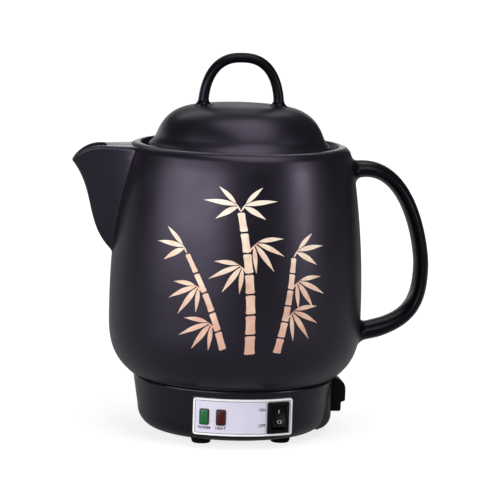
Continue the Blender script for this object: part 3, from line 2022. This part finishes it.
    def marks(self, turn: Matrix, dip_y: float, tip_y: float, tip_z: float) -> None:
        """Set a bar and a ring on the rocker's two faces.

        Args:
            turn: Frame of the rocker as it rests.
            dip_y: Depth of the rocker's face at its middle.
            tip_y: Depth of the face at its ends.
            tip_z: Height of its ends.
        """
        size, line, lift, share = 1.3, 0.45, 0.36, 0.5
        lean = math.atan2(tip_y - dip_y, tip_z)
        for sign, name in ((1, "mark_bar"), (-1, "mark_ring")):
            deselect()
            if sign > 0:
                bpy.ops.mesh.primitive_cube_add(size=1)
                bpy.context.object.scale = (line * MM, 2 * size * MM, 0.12 * MM)
            else:
                bpy.ops.mesh.primitive_torus_add(major_radius=size * MM, minor_radius=line / 2 * MM,
                                                 major_segments=32, minor_segments=8)
                bpy.context.object.scale = (1, 1, 0.25)
            piece = bpy.context.object
            bpy.context.view_layer.update()
            settle(piece, name)
            flat = Matrix.Rotation(math.pi / 2 - sign * lean, 4, "X")
            spot = Vector((0, blend(dip_y, tip_y, share) + lift, sign * share * tip_z))
            move = turn @ Matrix.Translation(spot) @ flat
            move.translation *= MM
            piece.data.transform(move)
            dress(piece, self.mark.material(), Body.ROCKER)


@dataclass(frozen=True)
class Leaf:
    """Lance-shaped leaf in the flat plane of the print.

    Attributes:
        root: Place of its root, as length across the pot and height.
        angle: Angle in degrees that it points to, counted from the right and upwards.
        length: Its length.
        width: Its largest width.
        droop: How far its tip sinks.
    """

    root: Point
    angle: float
    length: float
    width: float
    droop: float

    def at(self, across: float, along: float) -> Point:
        """Place in the leaf.

        Args:
            across: Share from one edge to the other.
            along: Share from root to tip.

        Returns:
            Length across the pot and height.
        """
        turn = math.radians(self.angle)
        half = self.width / 2 * math.sin(math.pi * along ** 0.8) ** 1.1 + 0.06
        run, off = self.length * along, half * (2 * across - 1)
        x = self.root[0] + run * math.cos(turn) - off * math.sin(turn)
        z = self.root[1] + run * math.sin(turn) + off * math.cos(turn) - self.droop * along * along
        return x, z


@dataclass(frozen=True)
class Stem:
    """Jointed stem in the flat plane of the print.

    Attributes:
        foot: Place of its foot, as length across the pot and height.
        top: Place of its top.
        width: Width at the foot.
        joints: Number of its lengths.
        bow: How far its middle bows to the right.
        twigs: Joint, side and number of leaves of each twig; the side is 1 to the right and -1 to the left.
    """

    foot: Point
    top: Point
    width: float
    joints: int
    bow: float
    twigs: Sequence[tuple[int, int, int]]

    def middle(self, share: float) -> Point:
        """Place on the stem's middle line."""
        swing = self.bow * math.sin(math.pi * share)
        return blend(self.foot[0], self.top[0], share) + swing, blend(self.foot[1], self.top[1], share)

    def at(self, number: int, across: float, along: float) -> Point:
        """Place in one length of the stem.

        Args:
            number: Which length it is, from the foot.
            across: Share from one edge to the other.
            along: Share along that length.

        Returns:
            Length across the pot and height.
        """
        gap = 0.045
        share = (number + blend(gap, 1 - gap, along)) / self.joints
        x, z = self.middle(share)
        waist = 0.8 + 0.2 * (2 * along - 1) ** 4
        half = self.width / 2 * blend(1.0, 0.68, share) * waist
        end = min(along, 1 - along) * (self.top[1] - self.foot[1]) / self.joints
        half *= math.sqrt(min(1.0, 0.45 + end / 0.9))
        lean = (self.top[0] - self.foot[0]) / (self.top[1] - self.foot[1])
        return x + half * (2 * across - 1), z - lean * half * (2 * across - 1)


@dataclass(frozen=True)
class Spray:
    """How a twig and its leaves are set.

    Attributes:
        rise: Angle of the twig above level, in degrees.
        rise_step: What each joint past a multiple of three adds to it.
        length: Length of the twig over the usual one.
        length_step: What each joint past a multiple of three adds to it.
        fan: Angle of the first and the last leaf below level, in degrees.
    """

    rise: float
    rise_step: float
    length: float
    length_step: float
    fan: Point


@dataclass(frozen=True)
class GiltPrint:
    """Gilt bamboo on the front of the pot, laid out by rule.

    Attributes:
        pot: Shape of the pot.
        gilt: Its finish.
        stems: The stems.
        leaf_l: Length of a leaf.
        leaf_w: Width of a leaf.
        leaf_sink: How far a level leaf's tip sinks.
        twig_l: Length of a twig.
        twig_w: Width of a twig.
        film: Thickness of the print.
        top: Spray at a stem's end.
        side: Spray at a joint.
    """

    pot: PotForm
    gilt: Finish
    stems: Sequence[Stem]
    leaf_l: float = 19.0
    leaf_w: float = 3.3
    leaf_sink: float = 2.6
    twig_l: float = 8.0
    twig_w: float = 1.0
    film: float = 0.12
    top: Spray = Spray(58, 0, 0.75, 0, (-48, 22))
    side: Spray = Spray(34, 6, 1.0, 0.15, (-14, 84))

    def sheet(self, name: str, size: tuple[int, int], place: Callable[[float, float], Point],
              number: int) -> Piece:
        """Lay one field of the print on the pot.

        Args:
            name: Name of the field.
            size: Faces across and along.
            place: Gives length across and height for a share across and along.
            number: Running number, which sets how far it lies off the glaze.

        Returns:
            The field.
        """
        least, step, layers = 0.05, 0.012, 9
        off = least + step * (number % layers)
        return wrap_grid(name, *size, lambda u, v: self.pot.front(*place(u, v), off))

    def build(self) -> None:
        """Model stems, twigs and leaves and lay them on the glaze."""
        fields = []
        for stem in self.stems:
            for number in range(stem.joints):
                at = partial(stem.at, number)
                fields.append(self.sheet("stem", (4, 14), at, len(fields)))
        for leaf in self.leaves():
            fields.append(self.sheet("leaf", (4, 16), leaf.at, len(fields)))
        piece = settle(join(*fields), "gilt_print")
        with editing(piece):
            bpy.ops.mesh.normals_make_consistent(inside=False)
        use_modifier(piece, "SOLIDIFY", thickness=self.film * MM, offset=-1)
        dress(piece, self.gilt.material(), Body.KETTLE)

    def leaves(self) -> Iterator[Leaf]:
        """Twigs at the chosen joints, each with a spray of leaves."""
        for stem in self.stems:
            for joint, side, count in stem.twigs:
                spray = self.top if joint == stem.joints else self.side
                rise = spray.rise + spray.rise_step * (joint % 3)
                length = self.twig_l * (spray.length + spray.length_step * (joint % 3))
                root = stem.middle(joint / stem.joints)
                turn = math.radians(rise)
                yield Leaf(root, 90 - side * (90 - rise), 1.1 * length, self.twig_w, 0)
                for i in range(count):
                    share = i / (count - 1)
                    run = length * (1.05 - 0.4 * share)
                    place = (root[0] + side * run * math.cos(turn), root[1] + run * math.sin(turn))
                    fall = blend(*spray.fan, share)
                    size = self.leaf_l * (0.86 + 0.26 * math.sin(math.pi * share) + 0.05 * ((joint + i) % 3))
                    droop = self.leaf_sink * math.cos(math.radians(fall))
                    width = self.leaf_w * (0.9 + 0.1 * (i % 3))
                    yield Leaf(place, 90 - side * (90 + fall), size, width, droop)


@dataclass(frozen=True)
class InnerWorks:
    """CAD nodes that keep their own shape and only take a better finish.

    Attributes:
        finishes: Finish for each material slot of the record.
    """

    finishes: dict[str, Finish]

    def dress(self) -> None:
        """Give every shown CAD node the finish of its material slot."""
        for part in frame["record"]["subparts"]:
            solid = frame["nodes"][part["node"]]
            finish = self.finishes.get(part["material_slot"])
            if solid.hide_render or finish is None:
                continue
            if not solid.material_slots:
                solid.data.materials.append(None)
            for place in solid.material_slots:
                place.material = finish.material()
            LOG.info("%s: %s", solid.name, finish.name)


@dataclass(frozen=True)
class Studio:
    """Floor, light and camera.

    Attributes:
        eye: Place of the camera in millimetres.
        aim: Place at the middle of the picture.
        lens: Focal length of the camera in millimetres.
        roll: Turn of the camera about its own axis, in degrees.
        room: Strength of the light from all round.
        glow: Strength that lifts the floor near the kettle to white.
        mirrored: Share of that strength which the kettle mirrors from the floor.
        backdrop: Height of the backdrop in metres.
    """

    eye: tuple[float, float, float] = (-282.13, -2237.66, 436.47)
    aim: tuple[float, float, float] = (-0.67, -1.18, 130.64)
    lens: float = 232.23
    roll: float = 1.746
    room: float = 0.05
    glow: float = 0.78
    mirrored: float = 0.14
    backdrop: float = 0.9

    def build(self) -> None:
        """Set up floor, light and camera."""
        bpy.context.scene.view_settings.view_transform = "Standard"
        self.floor()
        self.world()
        self.lamp("key_light", (-1480, -1200, 500), (2400, 600), 36)
        self.lamp("fill_light", (1500, -990, 500), (460, 600), 10)
        self.lamp("top_light", (230, -630, 1870), (1500, 2300), 34)
        self.lamp("back_light", (-100, 1300, 1300), (1400, 500), 3)
        self.camera()

    def paper(self, name: str, mirrored: float) -> Material:
        """Make white paper that is brighter away from the kettle.

        Args:
            name: Name of the material.
            mirrored: Share of its own light that the kettle mirrors.

        Returns:
            The material.
        """
        paper = bpy.data.materials.new(name)
        paper.use_nodes = True
        tree = paper.node_tree
        tree.nodes.clear()
        path = node(tree, "ShaderNodeLightPath", {}).outputs
        shine = node(tree, "ShaderNodeMath", {
            0: path["Is Glossy Ray"], 1: mirrored, 2: path["Is Camera Ray"]}, operation="MULTIPLY_ADD")
        seen = node(tree, "ShaderNodeMath", {
            0: shine.outputs["Value"], 1: path["Is Transmission Ray"]}, operation="ADD")
        place = node(tree, "ShaderNodeTexCoord", {})
        away = node(tree, "ShaderNodeVectorMath", {0: place.outputs["Object"]}, operation="LENGTH")
        glow = node(tree, "ShaderNodeMapRange", {
            "Value": away.outputs["Value"], "From Min": 0.3, "From Max": 1.2,
            "To Min": self.glow, "To Max": 1.0})
        level = node(tree, "ShaderNodeMath", {
            0: seen.outputs["Value"], 1: glow.outputs["Result"]}, operation="MULTIPLY")
        shader = node(tree, "ShaderNodeBsdfPrincipled", {
            "Base Color": linear("#a0a0a0"), "Roughness": 0.9, "Specular IOR Level": 0.0,
            "Emission Color": linear("#ffffff"), "Emission Strength": level.outputs["Value"]})
        node(tree, "ShaderNodeOutputMaterial", {"Surface": shader.outputs["BSDF"]})
        return paper

    def floor(self) -> None:
        """Lay the pale floor and hang the backdrop behind it."""
        deselect()
        floor_w = 80
        bpy.ops.mesh.primitive_plane_add(size=floor_w)
        floor = settle(bpy.context.object, "studio_floor")
        deselect()
        place, width = (-1.7, 3.6, self.backdrop / 2), 6
        bpy.ops.mesh.primitive_plane_add(size=1, location=place, rotation=(math.pi / 2, 0, 0))
        bpy.context.object.scale = (width, self.backdrop, 1)
        bpy.context.view_layer.update()
        backdrop = settle(bpy.context.object, "studio_backdrop")
        floor.data.materials.append(self.paper("white_floor_paper", self.mirrored))
        backdrop.data.materials.append(self.paper("white_backdrop_paper", 1.0))

    def world(self) -> None:
        """Fill the room with a little even light."""
        world = bpy.data.worlds.new("white_room")
        bpy.context.scene.world = world
        world.use_nodes = True
        sky = world.node_tree.nodes["Background"]
        sky.inputs["Color"].default_value = linear("#ffffff")
        sky.inputs["Strength"].default_value = self.room

    def lamp(self, name: str, place: Sequence[float], size: Point, power: float) -> None:
        """Hang one soft lamp that looks at the kettle.

        Args:
            name: Name of the lamp.
            place: Its place in millimetres.
            size: Width and height in millimetres.
            power: Power in watts.
        """
        deselect()
        bpy.ops.object.light_add(type="AREA", location=Vector(place) * MM)
        lamp = bpy.context.object
        lamp.name = name
        lamp.data.shape = "RECTANGLE"
        lamp.data.size, lamp.data.size_y = (edge * MM for edge in size)
        lamp.data.energy = power
        way = Vector(self.aim) - Vector(place)
        lamp.rotation_euler = way.to_track_quat("-Z", "Y").to_euler()

    def camera(self) -> None:
        """Place the camera at the viewing angle of the picture."""
        deselect()
        bpy.ops.object.camera_add(location=Vector(self.eye) * MM)
        camera = bpy.context.object
        camera.data.sensor_width = 36
        camera.data.lens = self.lens
        way = Vector(self.aim) - Vector(self.eye)
        turn = way.to_track_quat("-Z", "Y").to_matrix() @ Matrix.Rotation(math.radians(self.roll), 3, "Z")
        camera.rotation_euler = turn.to_euler()
        bpy.context.scene.camera = camera


# Stoneware dipped in glaze and fired: a near black with a violet cast and a satin sheen
GLAZE = Finish("dipped_black_glaze", "#0f0c13", 0.37, ior=1.45, sheen="#ebddff", other="#0c0a10",
               patch=35, grain=2.2, relief=0.012, uneven=0.04)
# The same glaze poured thick over the grips: deeper black with a closer shine
GRIP = Finish("poured_black_glaze", "#09080b", 0.3, ior=1.22, sheen="#ebddff", uneven=0.03, patch=20)
# The same glaze run thin on rim and roof: smoother and greyer, so it mirrors the pale room behind
POOL = Finish("thin_black_glaze", "#443e4c", 0.22, ior=1.45, sheen="#ebddff")
# Gold lustre printed and fired on the glaze: cream to rose gold, matt rather than mirror bright
GILT = GiltFinish("fired_gold_lustre", "#e6c8b2", 0.48, metal=0.1, low_z=70, high_z=180, rose="#d6a894",
                  cream="#f2e4d2")
# Phenolic pressed in a polished mould: deep black, a little glossier than the pot
PLASTIC = Finish("moulded_black_phenolic", "#0c0a10", 0.3, ior=1.4, sheen="#ebddff", uneven=0.04, patch=15)
# Moulded rubber: dull and without a highlight
RUBBER = Finish("moulded_black_rubber", "#0a090b", 0.75, ior=1.2, grain=0.8, relief=0.02)
# Glass-filled nylon as it leaves the mould: black with a faint, broken sheen
SOCKET = Finish("moulded_black_nylon", "#09080b", 0.45, ior=1.18, uneven=0.05, patch=8)
# Nylon from a polished mould: the darkest black of the panel with a small clear highlight
KEY = Finish("polished_black_nylon", "#08080a", 0.34, ior=1.18)
# Screen print on foil: an even, bright white
FRAME_WHITE = Finish("white_screen_print", "#f8f7fa", 0.4)
# Screen print on foil: a thin grey line that sets the field off
LINE_GREY = Finish("grey_screen_print", "#4a4850", 0.45)
# Aluminium foil, brushed upright and lacquered: pale silver with a lilac cast
FOIL = BrushedFinish("brushed_aluminium_foil", "#dcd8ea", 0.42, metal=0.12)
# Screen ink: dark grey, flat
INK = Finish("dark_screen_ink", "#26242c", 0.5)
# White filled into moulded marks: pale and flat
MARK = Finish("white_mark_fill", "#c4c4c8", 0.5)
# Black polycarbonate frame round a lens: dark and dull
DARK = Finish("moulded_dark_polycarbonate", "#151414", 0.5, ior=1.45)
# Clear-tinted polycarbonate: deep colour that lets a little light in
GREEN = LensFinish("green_polycarbonate", "#276d3d", 0.32, ior=1.3)
RED = LensFinish("red_polycarbonate", "#4f1016", 0.32, ior=1.3)

STEMS = [
    Stem((0.0, 70.0), (-8.0, 168.0), 8.4, 7, 3.0, [(4, -1, 4), (5, 1, 4), (7, 1, 3), (7, -1, 3)]),
    Stem((19.0, 71.0), (30.0, 137.0), 6.4, 6, 2.0, [(2, 1, 4), (4, 1, 4), (6, 1, 3)]),
    Stem((-18.0, 73.0), (-45.0, 138.0), 5.4, 5, 2.5, [(1, -1, 4), (3, -1, 4), (5, -1, 3)]),
]

INNER = {
    "base_plastic": PLASTIC,
    # Polypropylene with a fine spark-eroded grain: a soft dark grey
    "cover_plastic": Finish("grained_black_polypropylene", "#151417", 0.55, grain=1.2, relief=0.03),
    # Moulded silicone: black and soft to the eye
    "seal_silicone": Finish("moulded_black_silicone", "#131214", 0.6),
    "foot_rubber": RUBBER,
    # Zinc-plated steel: bluish grey metal, slightly clouded
    "steel": Finish("zinc_plated_steel", "#b9bcc0", 0.32, metal=1.0, uneven=0.08, patch=4),
    # Cast aluminium: pale metal with a sandy skin
    "cast_aluminium": Finish("cast_aluminium", "#b4b4b6", 0.5, metal=1.0, grain=0.7, relief=0.04, uneven=0.1),
    # Stamped brass: warm yellow metal
    "terminal_brass": Finish("stamped_brass", "#c4a860", 0.3, metal=1.0, uneven=0.06, patch=3),
    # Pressed mica board: buff with darker flakes
    "mica": Finish("pressed_mica", "#a59a86", 0.55, other="#8f836d", patch=3),
    # Brown phenolic: dark and slightly glossy
    "phenolic": Finish("moulded_brown_phenolic", "#4a2c1e", 0.4, uneven=0.05, patch=5),
    # Steatite ceramic: warm white, softly glazed
    "fuse_ceramic": Finish("glazed_steatite", "#e8e4da", 0.3),
    # Drawn glass: nearly clear and glossy
    "bulb_glass": LensFinish("drawn_bulb_glass", "#e6d8cc", 0.08),
    "switch_plastic": KEY,
    "inlet_plastic": SOCKET,
    # Silicone sleeves extruded on the wires: plain, dull colours
    "wire_brown": Finish("brown_silicone_sleeve", "#5a3a26", 0.5),
    "wire_red": Finish("red_silicone_sleeve", "#a32a26", 0.5),
    "wire_blue": Finish("blue_silicone_sleeve", "#2d4f96", 0.5),
    "wire_green": Finish("green_yellow_silicone_sleeve", "#4d8a3a", 0.5, other="#c8c040", patch=4),
}


def main() -> None:
    """Build the kettle and the studio in order."""
    logging.basicConfig(level=logging.INFO, format="%(name)s %(message)s")
    pot = PotForm.from_frame()
    base = BaseForm.from_frame()
    Pot(pot, SpoutForm.from_frame(pot), GLAZE, GRIP, POOL).build()
    Lid.from_frame(GLAZE, GRIP).build()
    GiltPrint(pot, GILT, STEMS).build()
    lamps = [
        Lamp("warm_lamp_lens", -22.3, GREEN, Slot.GREEN, "WARM"),
        Lamp("heat_lamp_lens", -12.9, RED, Slot.RED, "HEAT"),
    ]
    switch = RockerSwitch.from_frame(base, SOCKET, KEY, MARK)
    fit, seat_corner = 0.2, 0.8
    row = LampRow(base, DARK, lamps)
    body, bezel = ((wide + fit, high + fit) for wide, high in (switch.body, switch.bezel))
    windows = [*row.windows(fit), Window(switch.angle, body)]
    Base(base, PLASTIC, RUBBER, SOCKET).build(windows)
    plate = ControlPlate(base, FRAME_WHITE, LINE_GREY, FOIL, INK)
    plate.build(windows, Window(switch.angle, bezel, seat_corner), switch.seat_r)
    row.build()
    lamp_drop, switch_side, switch_rise = 7.6, 10.2, 5.5
    for lamp in lamps:
        plate.word(lamp.label, lamp.angle, -lamp_drop)
    plate.word("ON", switch_side, switch_rise)
    plate.word("OFF", switch_side, -switch_rise)
    switch.build()
    InnerWorks(INNER).dress()
    Studio().build()


if __name__ == "__main__":
    main()
